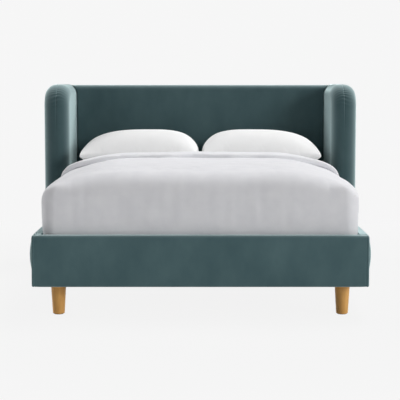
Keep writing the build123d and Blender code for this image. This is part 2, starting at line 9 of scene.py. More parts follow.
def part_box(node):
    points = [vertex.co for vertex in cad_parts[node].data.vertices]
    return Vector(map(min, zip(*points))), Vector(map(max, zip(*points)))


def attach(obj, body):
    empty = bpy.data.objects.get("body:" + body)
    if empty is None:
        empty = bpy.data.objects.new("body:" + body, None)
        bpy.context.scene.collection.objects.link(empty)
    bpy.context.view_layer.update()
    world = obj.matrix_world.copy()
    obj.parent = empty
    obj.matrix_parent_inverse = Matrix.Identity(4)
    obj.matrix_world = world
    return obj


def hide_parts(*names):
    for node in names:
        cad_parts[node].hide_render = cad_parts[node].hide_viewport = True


# An upholstered winged bed with its bedding, dressed round the fixed frame.
# Lengths are in metres. X runs across the bed, Y from foot to head, Z up.

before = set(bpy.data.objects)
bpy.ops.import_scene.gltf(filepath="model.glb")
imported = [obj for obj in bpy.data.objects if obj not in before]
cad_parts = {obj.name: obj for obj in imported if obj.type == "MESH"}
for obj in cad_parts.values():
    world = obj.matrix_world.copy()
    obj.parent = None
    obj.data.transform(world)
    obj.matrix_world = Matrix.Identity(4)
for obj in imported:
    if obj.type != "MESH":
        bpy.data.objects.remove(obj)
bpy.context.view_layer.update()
scene = bpy.context.scene

# Camera
camera_place = (-0.002, -7.185, 1.12)
camera_pitch_degrees = 5.2
focal_share = 3.2475

# Light: each lamp's turn and rise in degrees, its distance, its size and its level
lamps = (
    ("key", 56, 15, 24.0, 8.0, 0.5),
    ("overhead", 92, 70, 12.0, 5.0, 0.19),
    ("behind", 146, 60, 12.0, 5.0, 0.6),
    ("left_low", -92, 12, 12.0, 3.0, 0.12),
    ("left_front", -58, 25, 12.0, 4.0, 0.06),
    ("left_side", -108, 35, 12.0, 5.0, 0.22),
    ("floor_bounce", 8, -6, 4.6, 0.8, 0.025),
)
room_level = 0.02
backdrop_tone = (0.923, 0.923, 0.923, 1)
light_target = (0, 0, 0.6)

# Floor
floor_radius = 40.0
floor_sides = 64
floor_fade_start = 1.6
floor_fade_end = 3.4
floor_shadow_share = 0.05
floor_tone = (0.75, 0.75, 0.75, 1)

both_sides = (("right", 1), ("left", -1))

# Mesh steps
weld_gap = 0.00002
seat_gap = 0.0005
arc_steps = 8
cap_steps = 5
cover_side_count = 3
head_side_count = 6
head_end_steps = 6

# Velvet covers
foot_rail_top_radius = 0.021
foot_rail_radius = 0.008
cover_back_radius = 0.004
cover_end_radius = 0.008
cover_ring_step = 0.005
cover_along_step = 0.014
cover_side_step = 0.012
end_seam_inset = 0.0062
end_seam_depth = 0.0016
end_seam_half = 0.0016
rail_top_radius = 0.007
rail_bulge = 0.017
rail_bulge_middle_drop = 0.1
rail_bulge_half = 0.098
rail_bulge_ramp = 0.03
head_top_radius = 0.038
head_back_radius = 0.012
head_side_radius = 0.012
shoulder_start_share = 0.9
velvet_ripple = 0.0007
velvet_ripple_pitch = 0.19

# Wings
wing_corner_radius = 0.135
wing_inner_radius = 0.066
wing_outer_radius = 0.072
wing_rim_depth = 0.075
wing_edge_radius = 0.009
wing_step = 0.014
wing_arc_stations = 46
wing_ring_count = 6
wing_notch_gap = 0.0015
seam_half = 0.0016
seam_depth = 0.0022
seam_fade = 0.16
seam_low_share = 0.06
seam_side_shares = (-0.6, -0.3, -0.12, 0, 0.12, 0.3, 0.6)
pucker_depth = 0.003
pucker_reach = 0.024
pucker_pitch = 0.021
pucker_spread = 0.085
pucker_wander = 1.5

# Duvet
duvet_plateau_half = 0.62
duvet_rim_depth = 0.118
duvet_corner_radius = 0.074
duvet_skirt_half = 0.7655
duvet_half = 0.787
duvet_flare = 0.26
duvet_belly_side = 0.546
duvet_belly_front = 0.56
duvet_nose_height = 0.69
duvet_crown_height = 0.69
duvet_shoulder_height = 0.632
duvet_swell_share = 0.376
duvet_sink_power = 1.5
duvet_flat_half = 0.4
duvet_droop_half = 0.7
duvet_front_fullness_share = 0.55
duvet_side_fullness_share = 0.56
duvet_fold_fullness_share = 0.66
duvet_corner_fullness_share = 0.95
duvet_hem_thickness = 0.0045
duvet_tuck_power = 2.4
duvet_room_gap = 0.0012
duvet_roll = 0.042
duvet_step = 0.0085
duvet_rim_rows = 18
duvet_skirt_rows = 22
duvet_corner_stations = 14
duvet_roll_steps = 12
slope_probe = 0.01

# The duvet's unevenness: each noise's height, its pitches along the axes and its seed
duvet_fullness = (0.0045, (0.34, 0.3, 0.3), 3.1)
duvet_softness = (0.0016, (0.11, 0.16, 0.14), 7.7)
duvet_hanging = (0.0013, (0.035, 0.3, 0.22), 1.3)
duvet_creasing = (1.0, (0.2, 0.09, 0.12), 5.2)
crease_depth = 0.002
crease_share = 0.06
hanging_start = 0.02
hanging_end = 0.2
lumps_start_rise = 0.004
lumps_full_rise = 0.06
lumps_drop = 0.0015

# The duvet's turned-down top edge
fold_width = 0.33
fold_rise = 0.034
fold_back_rise = 0.015
fold_edge_rise = 0.002
fold_side_rise = 0.0105
fold_lip_steps = 14
fold_dip = 0.013
fold_dip_reach = 0.07
fold_reach = 0.11

# The lobes of the turned-down edge: where across the bed, how wide and how far along it
fold_lobes = (
    (-0.2, 0.09, -0.03),
    (0.19, 0.08, -0.03),
    (0.42, 0.12, -0.03),
    (-0.02, 0.1, 0.02),
    (-0.55, 0.14, -0.02),
)

# Pillows
pillow_flat_width = 0.80
pillow_flat_depth = 0.54
pillow_grid = 108
pillow_grid_share = 0.64
pillow_pull_share = 0.05
pillow_frames = 40
pillow_start_height = 0.012
pillow_full_share = 0.34
pillow_seam_height = 0.088
pillow_belly = 0.115
pillow_relief_share = 0.22
pillow_length_power = 3.0
pillow_depth_power = 1.9
pillow_peak_share = 0.4
pillow_inner_power = 2.6
pillow_outer_power = 3.2
pillow_wedge_power = 0.74
pillow_depth_wedge = 0.8
pillow_cloth = {
    "quality": 6,
    "mass": 0.25,
    "tension_stiffness": 18,
    "compression_stiffness": 6,
    "shear_stiffness": 4,
    "bending_stiffness": 0.6,
    "use_pressure": True,
    "uniform_pressure_force": 6.0,
}

# Mattress
mattress_corner_radius = 0.055
mattress_edge_radius = 0.014
mattress_step = 0.012
quilt_pitch = 0.12
quilt_depth = 0.005
piping_radius = 0.0055
piping_inset = 0.007
mattress_edge_steps = 5
piping_steps = 10

# Finishes
velvet_tones = ((0.049, 0.089, 0.097), (0.068, 0.116, 0.124))
# Pale tone and power of the painted sheen mixed into the velvet's colour where it is seen side-on
velvet_painted_sheen_tone = (0.5, 0.645, 0.655, 1)
velvet_painted_sheen_power = 1.7
# The rails' velvet copy is painted this much lighter, standing in for light bounced up from the
# floor
rail_velvet_painted_lift = 1.45
duvet_tones = ((0.84, 0.84, 0.865), (0.8, 0.8, 0.83))
pillow_tones = ((0.92, 0.92, 0.92), (0.9, 0.9, 0.9))
mattress_tones = ((0.78, 0.78, 0.77), (0.72, 0.72, 0.71))
felt_tones = ((0.16, 0.15, 0.14), (0.11, 0.1, 0.1))
oak_tones = ((0.85, 0.47, 0.135), (0.62, 0.31, 0.085))
pine_tones = ((0.62, 0.44, 0.25), (0.44, 0.27, 0.13))
board_tones = ((0.3, 0.19, 0.1), (0.52, 0.37, 0.22))
lining_tones = ((0.012, 0.013, 0.014), (0.026, 0.027, 0.029))
black_steel_tone = (0.03, 0.03, 0.032)
zinc_tone = (0.6, 0.61, 0.63)
plastic_tone = (0.02, 0.02, 0.021)
velvet_pile_height = 0.0012
duvet_thread = 0.0011
pillow_thread = 0.0009
mattress_thread = 0.0016
felt_thread = 0.002
thread_height = 0.0005
wave_texture_pitch = 0.314
grain_stretch_share = 0.06
pore_height = 0.0006
chip_height = 0.0008
metal_grain_height = 0.0003
lining_height = 0.0006

# Places read from the frame
foot_low, foot_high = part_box("foot_rail_upholstery")
rail_low, rail_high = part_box("side_rail_upholstery_right")
head_low, head_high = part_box("headboard_upholstery")
wing_low, wing_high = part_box("wing_upholstery_right")
duvet_low, duvet_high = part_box("duvet")
mattress_low, mattress_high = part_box("mattress")
pillow_low, pillow_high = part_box("pillow_right")

wing_lean = (head_high.x - wing_low.x) / (wing_high.y - head_low.y)
corner_y = wing_low.y + wing_corner_radius
corner_z = wing_high.z - wing_corner_radius
nose_y = duvet_low.y + duvet_rim_depth
lip_y = duvet_high.y - fold_width
low_edge_z = mattress_low.z + mattress_edge_radius
high_edge_z = mattress_high.z - mattress_edge_radius
mattress_width = mattress_high.x - mattress_low.x
mattress_length = mattress_high.y - mattress_low.y


def spaced(start, end, step):
    """Evenly spaced values from start to end, about one step apart."""
    count = max(1, round(abs(end - start) / step))
    return np.linspace(start, end, count + 1)


def between(start, end, share):
    """The value at a share of the way from start to end."""
    return start + share * (end - start)


def smooth_rise(value, start, end):
    """A share that rises smoothly from 0 at start to 1 at end."""
    share = np.clip((value - start) / (end - start), 0, 1)
    return share * share * (3 - 2 * share)


def near_to(distance, reach):
    """A share that fades from 1 at no distance to nearly 0 at twice a reach."""
    return np.exp(-((distance / reach) ** 2))


def edge_inset(distance, radius):
    """How far a surface is drawn in at a distance from its rounded edge."""
    short = np.clip(radius - distance, 0, radius)
    return radius - np.sqrt(radius**2 - short**2)


def edge_steps(radius, count=4):
    """Distances from a rounded edge, close together near the edge."""
    return radius * (1 - np.cos(np.linspace(0, math.pi / 2, count + 1)))


def uneven(points, height, pitches, seed):
    """Smooth noise of a height at each point, stretched by a pitch along each axis."""
    scaled = points.reshape(-1, 3) / np.array(pitches) + seed
    values = [noise.noise(Vector(place)) for place in scaled]
    return height * np.array(values).reshape(points.shape[:-1])


def grid_faces(rows, columns, start, wrap):
    """Quads over a grid of points that are numbered row by row."""
    faces = []
    for row in range(rows - 1):
        for column in range(columns if wrap else columns - 1):
            beside = (column + 1) % columns
            low = start + row * columns
            high = low + columns
            faces.append((low + column, low + beside, high + beside, high + column))
    return faces


def placed(name, data):
    """A new object in the scene."""
    made = bpy.data.objects.new(name, data)
    scene.collection.objects.link(made)
    return made


def refined(piece):
    """Smooth a piece by one step of subdivision."""
    finer = piece.modifiers.new("finer", "SUBSURF")
    finer.levels = 1
    finer.render_levels = 1
    return piece


def welded(name, grids, wrap=False):
    """One smooth mesh object made of grids of points that share their borders."""
    points = []
    faces = []
    count = 0
    for grid in grids:
        rows, columns = grid.shape[:2]
        faces += grid_faces(rows, columns, count, wrap)
        points.append(grid.reshape(-1, 3))
        count += rows * columns
    mesh = bpy.data.meshes.new(name)
    mesh.from_pydata(np.concatenate(points).tolist(), [], faces)
    shell = bmesh.new()
    shell.from_mesh(mesh)
    bmesh.ops.remove_doubles(shell, verts=shell.verts, dist=weld_gap)
    bmesh.ops.dissolve_degenerate(shell, edges=shell.edges, dist=weld_gap)
    open_edges = [edge for edge in shell.edges if edge.is_boundary]
    if open_edges:
        bmesh.ops.holes_fill(shell, edges=open_edges)
    bmesh.ops.recalc_face_normals(shell, faces=shell.faces)
    shell.to_mesh(mesh)
    shell.free()
    mesh.polygons.foreach_set("use_smooth", [True] * len(mesh.polygons))
    return placed(name, mesh)


def dressed(piece, body, material, node=None):
    """Give a piece its finish and say what it rides on and stands for."""
    piece.data.materials.append(material)
    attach(piece, body)
    if node:
        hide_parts(node)


def rounded_loop(low, high, radii, side_counts, inset=0):
    """Points round a rectangle whose corners have their own radii, drawn in by an inset."""
    low = (low[0] + inset, low[1] + inset)
    high = (high[0] - inset, high[1] - inset)
    corners = ((low[0], low[1]), (high[0], low[1]), (high[0], high[1]), (low[0], high[1]))
    inward = ((1, 1), (-1, 1), (-1, -1), (1, -1))
    arcs = []
    for index in range(4):
        radius = max(radii[index] - inset, 0)
        centre = np.array(corners[index]) + radius * np.array(inward[index])
        turns = (index / 2 + 1) * math.pi + np.linspace(0, math.pi / 2, arc_steps + 1)
        arcs.append(centre + radius * np.stack([np.cos(turns), np.sin(turns)], 1))
    loop = []
    for index in range(4):
        loop.append(arcs[index])
        start = arcs[index][-1]
        end = arcs[(index + 1) % 4][0]
        shares = np.linspace(0, 1, side_counts[index % 2] + 1)[1:-1, None]
        loop.append(between(start, end, shares))
    return np.concatenate(loop)


def wing_gap(y):
    """Half the room between the wings at a place along the bed."""
    return head_high.x + wing_lean * (head_low.y - y)


def ripple(points, seed=0.0):
    """The slight unevenness of foam under velvet."""
    return uneven(points, velvet_ripple, [velvet_ripple_pitch] * 3, seed)


def rim_rings(radius, steps):
    """Insets and setbacks of the loops round a rounded rim."""
    turns = np.linspace(0, math.pi / 2, steps + 1)
    return radius * (1 - np.sin(turns)), radius * (1 - np.cos(turns))


def end_rings(thickness):
    """Insets and setbacks of the loops that close a padded end, from its middle to its rim."""
    flat = spaced(thickness / 2, cover_end_radius, cover_ring_step)[:-1]
    insets, setbacks = rim_rings(cover_end_radius, cap_steps)
    return np.concatenate([flat, insets]), np.concatenate([np.zeros(len(flat)), setbacks])


def closed_stations(start, middle, end, insets, setbacks):
    """Places along a cover with their insets, closed at both ends."""
    first = [(start + back, inset) for inset, back in zip(insets, setbacks)]
    last = [(end - back, inset) for inset, back in zip(insets[::-1], setbacks[::-1])]
    return first + [(place, 0) for place in middle] + last


def seam_lines(start, end, step, inset):
    """Places along a cover, with extra ones where its end seams lie."""
    around = inset + end_seam_half * np.array([-1, -0.5, 0, 0.5, 1])
    middle = spaced(start + inset + 2 * step, end - inset - 2 * step, step)
    return np.concatenate([start + around, middle, (end - around)[::-1]])


def side_count(low, high):
    """Steps up the side of a cover."""
    return round((high.z - low.z) / cover_side_step)


def make_foot_rail_cover(velvet):
    """Velvet over foam on the foot rail, with a seam down each end."""
    counts = (cover_side_count, side_count(foot_low, foot_high))
    radii = (foot_rail_radius, cover_back_radius, cover_back_radius, foot_rail_top_radius)
    start = foot_low.x + cover_end_radius
    end = foot_high.x - cover_end_radius
    middle = seam_lines(start, end, cover_along_step, end_seam_inset)
    rings = end_rings(foot_high.y - foot_low.y)
    rows = []
    for x, inset in closed_stations(foot_low.x, middle, foot_high.x, *rings):
        seam = min(abs(x - start - end_seam_inset), abs(end - end_seam_inset - x))
        inset = inset + end_seam_depth * near_to(seam, end_seam_half)
        loop = rounded_loop(foot_low.yz, foot_high.yz, radii, counts, inset)
        rows.append(np.column_stack([np.full(len(loop), x), loop]))
    grid = np.array(rows)
    grid[..., 1] += abs(ripple(grid)) * smooth_rise(foot_high.y - grid[..., 1], 0, cover_end_radius)
    piece = refined(welded("foot_rail_cover", [grid], wrap=True))
    dressed(piece, "frame", velvet, "foot_rail_upholstery")


def side_rail_loop(bulge, inset):
    """Cross-section of the right-hand side rail, with its bulging outer face."""
    flush = rail_high.x - rail_bulge
    counts = (cover_side_count, side_count(rail_low, rail_high))
    radii = (cover_back_radius, foot_rail_radius, rail_top_radius, cover_back_radius)
    loop = rounded_loop(rail_low.xz, (flush, rail_high.z), radii, counts, inset)
    outer = smooth_rise(loop[:, 0], (rail_low.x + flush) / 2, flush - rail_top_radius)
    rise = 1 - ((rail_high.z - rail_bulge_middle_drop - loop[:, 1]) / rail_bulge_half) ** 2
    loop[:, 0] += bulge * outer * np.clip(rise, 0, 1)
    return loop


def make_side_rail_covers(velvet):
    """Velvet over foam on each side rail, full in its middle height."""
    start = rail_low.y + cover_end_radius
    end = rail_high.y - cover_end_radius
    middle = spaced(start, end, cover_along_step)[1:-1]
    rings = end_rings(rail_high.x - rail_bulge - rail_low.x)
    rows = []
    for y, inset in closed_stations(rail_low.y, middle, rail_high.y, *rings):
        ramp = np.clip((y - rail_low.y) / rail_bulge_ramp, 0, 1)
        bulge = rail_bulge * math.sqrt(1 - (1 - ramp) ** 2)
        loop = side_rail_loop(bulge, inset)
        rows.append(np.column_stack([loop[:, 0], np.full(len(loop), y), loop[:, 1]]))
    for name, side in both_sides:
        grid = np.array(rows)
        grid[..., 0] -= abs(ripple(grid, seed=side))
        grid[..., 0] *= side
        piece = refined(welded("side_rail_cover_" + name, [grid], wrap=True))
        dressed(piece, "frame", velvet, "side_rail_upholstery_" + name)


def make_headboard_cover(velvet):
    """Velvet over foam on the headboard, spread over the wings' rounded inner edges."""
    counts = (head_side_count, side_count(head_low, head_high))
    radii = (head_side_radius, cover_back_radius, head_back_radius, head_top_radius)
    half = wing_gap(head_low.y)
    middle = spaced(head_side_radius - half, half - head_side_radius, cover_along_step)[1:-1]
    rings = rim_rings(head_side_radius, head_end_steps)
    rows = []
    for x, inset in closed_stations(-half, middle, half, *rings):
        low = (head_low.y + inset, head_low.z)
        high = (head_high.y, head_high.z - inset)
        loop = rounded_loop(low, high, radii, counts)
        share = x / half * (1 - seat_gap)
        over = edge_inset(wing_high.z - loop[:, 1], wing_inner_radius)
        reach = wing_gap(loop[:, 0]) + over * smooth_rise(abs(share), shoulder_start_share, 1)
        rows.append(np.column_stack([share * reach, loop]))
    grid = np.array(rows)
    front = smooth_rise(head_high.y - grid[..., 1], head_back_radius, head_top_radius)
    grid[..., 1] += abs(ripple(grid)) * front
    ends = [close_between(grid[0]), close_between(grid[-1])]
    piece = welded("headboard_cover", [np.concatenate([grid, grid[:, :1]], 1)] + ends)
    dressed(piece, "frame", velvet, "headboard_upholstery")


def close_between(outline):
    """A grid that closes an outline by joining its first half to its second."""
    half = len(outline) // 2
    first = outline[:half]
    second = outline[::-1][:half]
    shares = np.linspace(0, 1, cap_steps)[None, :, None]
    return between(first[:, None], second[:, None], shares)


def wing_heights():
    """Heights of the wing's rows, close together at its foot and over the notch."""
    notch = rail_high.z + wing_notch_gap
    foot = wing_low.z + edge_steps(wing_edge_radius)
    below = spaced(foot[-1], notch, wing_step)[1:-1]
    above = spaced(notch + 2 * wing_notch_gap, corner_z, wing_step)
    return np.concatenate([foot, below, [notch], above])


def wing_backs():
    """Places of the wing's columns, from its corner to its back edge."""
    edge = wing_high.y - edge_steps(wing_edge_radius)[::-1]
    return np.concatenate([spaced(corner_y, edge[0], wing_step)[:-1], edge])


def wing_inset(y, z):
    """How far the wing's faces are drawn in near its foot and its back edge."""
    foot = edge_inset(z - wing_low.z, wing_edge_radius)
    back = edge_inset(wing_high.y - y, wing_edge_radius)
    return np.maximum(foot, back)


def wing_stations():
    """Places round the wing's rim, from its foot up its front and back along its top."""
    stations = [(wing_low.y, z, 1, 0) for z in wing_heights()]
    for turn in np.linspace(math.pi, math.pi / 2, wing_arc_stations)[1:-1]:
        along, up = math.cos(turn), math.sin(turn)
        place = (corner_y + wing_corner_radius * along, corner_z + wing_corner_radius * up)
        stations.append((*place, -along, -up))
    stations += [(y, wing_high.z, 0, -1) for y in wing_backs()]
    return np.array(stations)


def rim_side(face, radius, inset):
    """Depths and offsets round one rounded edge of the wing's rim, from its face inwards."""
    reach = radius - inset
    arc = [
        (radius - reach * math.sin(turn), face, radius - reach * math.cos(turn))
        for turn in np.linspace(0, math.pi / 2, 2 * arc_steps + 1)
    ]
    return [(wing_rim_depth, face, inset)] + arc


def wing_profile(inset):
    """Depths and offsets round the wing's rim, from its inner face to its outer face."""
    middle = [(inset, "middle", share) for share in seam_side_shares]
    outer = rim_side("outer", wing_outer_radius, inset)
    return rim_side("inner", wing_inner_radius, inset) + middle + outer[::-1]


def pucker(beside, along, seed):
    """Depth of the seam and the gathers at the wing's front corner."""
    bend = corner_z - wing_low.z + math.pi / 4 * wing_corner_radius
    seam = seam_depth * near_to(beside, seam_half)
    fading = smooth_rise(along, bend - 2 * seam_fade, bend - seam_fade / 2)
    window = near_to(along - bend + pucker_spread / 2, pucker_spread)
    wander = noise.noise(Vector((along / pucker_spread, seed, beside / pucker_spread)))
    wave = math.sin(2 * math.pi * (along / pucker_pitch + pucker_wander * wander))
    near = math.exp(-abs(beside) / pucker_reach)
    gathers = pucker_depth * window * near * (0.5 + 0.5 * wave)
    return seam * between(seam_low_share, 1, fading) + gathers


def wing_rim(seed):
    """The rounded rim of the right-hand wing as a grid of points."""
    rows = []
    run = 0
    before = None
    for y, z, in_y, in_z in wing_stations():
        if before is not None:
            run += math.dist(before, (y, z))
        before = (y, z)
        row = []
        for depth, face, offset in wing_profile(wing_inset(y, z)):
            place_y = y + depth * in_y
            inner_end = wing_gap(place_y) + wing_inner_radius
            outer_end = wing_high.x - wing_outer_radius
            middle = (inner_end + outer_end) / 2
            if face == "inner":
                x = wing_gap(place_y) + offset
            elif face == "outer":
                x = wing_high.x - offset
            else:
                x = middle + offset * (outer_end - inner_end) / 2
            sunk = pucker(x - middle, run, seed) if depth < wing_rim_depth else 0
            row.append((x, place_y + sunk * in_y, z + (depth + sunk) * in_z))
        rows.append(row)
    return np.array(rows)


def wing_plate(inner):
    """The flat inner or outer face of the right-hand wing as grids of points."""
    rings = np.linspace(wing_corner_radius - wing_rim_depth, 0, wing_ring_count)
    turns = np.linspace(math.pi, math.pi / 2, wing_arc_stations)
    lower = np.meshgrid(np.concatenate([corner_y - rings, wing_backs()[1:]]), wing_heights())
    upper = np.meshgrid(wing_backs(), corner_z + rings[::-1])
    corner = (corner_y + rings[:, None] * np.cos(turns), corner_z + rings[:, None] * np.sin(turns))
    grids = []
    for y, z in (lower, upper, corner):
        inset = wing_inset(y, z)
        x = wing_gap(y) + inset if inner else wing_high.x - inset
        grids.append(np.stack([x + 0 * y, y, z], -1))
    return grids


def notched(grid):
    """Keep the wing clear of the side rail that runs into it."""
    beside = rail_high.x + wing_notch_gap
    low = grid[..., 2] <= rail_high.z + wing_notch_gap + weld_gap
    grid[..., 0] = np.where(low, np.maximum(grid[..., 0], beside), grid[..., 0])
    return grid


def make_wing_covers(velvet):
    """Velvet over foam on the two wings, gathered at their front top corners."""
    for name, side in both_sides:
        rim = wing_rim(side * pucker_spread)
        inner = wing_plate(True)
        outer = wing_plate(False)
        foot = np.concatenate([inner[0][0][::-1], rim[0][1:-1], outer[0][0]])
        tops = [np.concatenate([grids[0][:, -1], grids[1][1:, -1]]) for grids in (inner, outer)]
        back = np.concatenate([tops[0], rim[-1][1:-1], tops[1][::-1]])
        grids = [rim] + inner + outer + [close_between(foot), close_between(back)]
        grids = [notched(grid) * (side, 1, 1) for grid in grids]
        piece = refined(welded("wing_cover_" + name, grids))
        dressed(piece, "frame", velvet, "wing_upholstery_" + name)


def duvet_spine(y):
    """Height of the duvet's middle: a nose, a swell, then a settled part."""
    swell = between(nose_y, lip_y, duvet_swell_share)
    climb = np.sin(np.clip((y - nose_y) / (swell - nose_y), 0, 1) * math.pi / 2)
    sink = np.clip((y - swell) / (lip_y - swell), 0, 1) ** duvet_sink_power
    top = between(duvet_nose_height, duvet_high.z, climb)
    dip = fold_dip * near_to(y - lip_y, fold_dip_reach)
    return top - sink * (duvet_high.z - duvet_crown_height) - dip


def fold_height(x, y):
    """How far the turned-down part stands above the duvet under it."""
    settled = smooth_rise(y, lip_y, duvet_high.y)
    edge = smooth_rise(np.abs(x), duvet_flat_half, duvet_half)
    return between(fold_rise, fold_back_rise, settled) + edge * fold_edge_rise


def duvet_top(x, y, share):
    """Height of the duvet's upper side, which droops towards its long edges."""
    across = np.clip((np.abs(x) - duvet_flat_half) / (duvet_droop_half - duvet_flat_half), 0, None)
    drooping = between(duvet_spine(y), duvet_shoulder_height, across**2)
    return drooping + share * fold_height(x, y)


def duvet_rows():
    """Places along the duvet's top, with the fold's share of rise at each."""
    radius = fold_rise / 2
    turns = np.linspace(-math.pi / 2, math.pi / 2, fold_lip_steps + 1)
    before = spaced(nose_y, lip_y + radius, duvet_step)[:-1]
    after = spaced(lip_y + radius, duvet_high.y - duvet_roll, duvet_step)[1:]
    rows = np.concatenate([before, lip_y + radius * (1 - np.cos(turns)), after])
    shares = np.concatenate([np.zeros(len(before)), (1 + np.sin(turns)) / 2, np.ones(len(after))])
    return rows, shares


def duvet_columns():
    """Places across the duvet's top."""
    return spaced(-duvet_plateau_half, duvet_plateau_half, duvet_step)


def duvet_outline(half_at, front, radius):
    """Plan points round the duvet's left side, front and right side."""
    rows = duvet_rows()[0]
    start = half_at(front)
    turns = np.linspace(math.pi, math.pi * 1.5, duvet_corner_stations + 1)
    side = np.stack([-half_at(rows[::-1]) + 0 * rows, rows[::-1]], 1)
    arc_x = radius - start + radius * np.cos(turns)
    arc_y = front + radius * (1 + np.sin(turns))
    corner = np.stack([arc_x, arc_y], 1)
    columns = duvet_columns()
    middle = np.stack([columns, np.full(len(columns), front)], 1)
    left = np.concatenate([side, corner])
    right = left[::-1] * (-1, 1)
    return np.concatenate([left, middle, right])


def room_outline(gap, rounding):
    """Plan points round the mattress at a gap, with rounder corners than its own."""
    half = mattress_high.x + gap
    return duvet_outline(lambda y: half, mattress_low.y - gap, mattress_corner_radius + rounding)


def duvet_half_at(y):
    """Half the duvet's width, fuller behind its front corners."""
    share = np.clip((y - duvet_low.y - duvet_corner_radius) / duvet_flare, 0, 1)
    return between(duvet_skirt_half, duvet_half, np.sin(share * math.pi / 2))


def station_shares():
    """The fold's share of rise at each place round the duvet's skirt."""
    shares = duvet_rows()[1]
    unfolded = np.zeros(2 * (duvet_corner_stations + 1) + len(duvet_columns()))
    return np.concatenate([shares[::-1], unfolded, shares])


def duvet_lumps(points):
    """Fullness and soft creases of the duvet at each point."""
    full = uneven(points, *duvet_fullness)
    soft = uneven(points, *duvet_softness)
    front = 1 - smooth_rise(points[..., 1] - duvet_low.y, hanging_start, hanging_end)
    hanging = uneven(points, *duvet_hanging) * front
    creases = uneven(points, *duvet_creasing)
    pulled = -crease_depth * near_to(creases, crease_share) * (1 - front)
    clear = smooth_rise(points[..., 2] - rail_high.z, lumps_start_rise, lumps_full_rise)
    return clear * (full + soft + hanging + pulled - lumps_drop)


def waved(points):
    """Shift the duvet's points near the turned-down edge with its wandering line."""
    near = near_to(points[..., 1] - lip_y, fold_reach)
    for place, width, reach in fold_lobes:
        points[..., 1] += reach * near_to(points[..., 0] - place, width) * near
    return points


def rim_start(outline):
    """Plan points on the duvet's upper side from which its rim falls to an outline."""
    across = np.clip(outline[:, 0], -duvet_plateau_half, duvet_plateau_half)
    along = np.maximum(outline[:, 1], nose_y)
    return np.column_stack([across, along])


def rim_fullness(sideways, shares):
    """How full the rim is at the front, the corners, the sides and the turned-down part."""
    side_full = between(duvet_side_fullness_share, duvet_fold_fullness_share, shares)
    full = between(duvet_front_fullness_share, side_full, sideways)
    return full + duvet_corner_fullness_share * sideways * (1 - sideways)


def lumped(plan, z, way, spread, turn):
    """One row of the duvet's skirt, wider at the turned-down part and pushed out by its lumps."""
    points = waved(np.column_stack([plan + way * (spread * fold_side_rise)[:, None], z]))
    push = duvet_lumps(points)
    points[:, :2] += way * (push * math.sin(turn))[:, None]
    points[:, 2] += push * math.cos(turn)
    return points


def duvet_skirt():
    """The duvet's outer grid round its sides and front, from its top to its hem."""
    belly = duvet_outline(duvet_half_at, duvet_low.y, duvet_corner_radius)
    hem = room_outline(duvet_room_gap + duvet_hem_thickness, duvet_hem_thickness)
    inner = rim_start(belly)
    reach = belly - inner
    span = np.linalg.norm(reach, axis=1, keepdims=True)
    way = reach / span
    shares = station_shares()
    probe = inner - slope_probe * way
    inner_z = duvet_top(inner[:, 0], inner[:, 1], shares)
    slope = (inner_z - duvet_top(probe[:, 0], probe[:, 1], shares)) / slope_probe
    sideways = np.abs(way[:, 0])
    belly_z = between(duvet_belly_front, duvet_belly_side, sideways)
    full = rim_fullness(sideways, shares)
    rows = []
    for t in np.linspace(0, 1, duvet_rim_rows + 1):
        weights = ((1 - t) ** 3, 3 * t * (1 - t) ** 2, 3 * t * t * (1 - t), t**3)
        out = weights[1] * full + weights[2] + weights[3]
        lean = span[:, 0] * full * slope
        z = (weights[0] + weights[1]) * inner_z + weights[1] * lean
        z += weights[2] * between(belly_z, inner_z, full) + weights[3] * belly_z
        turn = t * math.pi / 2
        rows.append(lumped(inner + reach * out[:, None], z, way, shares * math.sin(turn), turn))
    for q in np.linspace(0, 1, duvet_skirt_rows + 1)[1:]:
        drawn = q**duvet_tuck_power
        plan = between(belly, hem, drawn)
        z = between(belly_z, duvet_low.z, q)
        rows.append(lumped(plan, z, way, shares * (1 - drawn), math.pi / 2))
    return np.array(rows)


def duvet_plateau():
    """The duvet's upper side as a grid, with its top edge turned down."""
    rows, shares = duvet_rows()
    x, y = np.meshgrid(duvet_columns(), rows)
    points = waved(np.stack([x, y, duvet_top(x, y, shares[:, None])], -1))
    points[..., 2] += duvet_lumps(points)
    return points


def duvet_lining():
    """The duvet's underside, which lies on the mattress and hangs round it."""
    room_z = mattress_high.z + seat_gap
    room = room_outline(duvet_room_gap, duvet_room_gap)
    along = duvet_rows()[0]
    count = len(along)
    even = np.linspace(along[0], along[-1], count)
    room[:count, 1] = even[::-1]
    room[-count:, 1] = even
    rows = []
    reach = room - rim_start(room)
    span = np.linalg.norm(reach, axis=1)
    for left in np.linspace(1, 0, duvet_rim_rows + 1) ** 2:
        z = room_z - edge_inset(left * span, mattress_edge_radius)
        rows.append(np.column_stack([room - reach * left, z]))
    edge_z = room_z - mattress_edge_radius
    for z in np.linspace(edge_z, duvet_low.z, duvet_skirt_rows + 1)[1:]:
        rows.append(np.column_stack([room, np.full(len(room), z)]))
    x, y = np.meshgrid(duvet_columns(), even)
    plateau = np.stack([x, y, np.full(x.shape, room_z)], -1)
    return np.array(rows), plateau


def back_edge(skirt, plateau):
    """The outline across the duvet at its back, from its left hem to its right hem."""
    return np.concatenate([skirt[::-1, 0], plateau[-1, 1:-1], skirt[:, -1]])


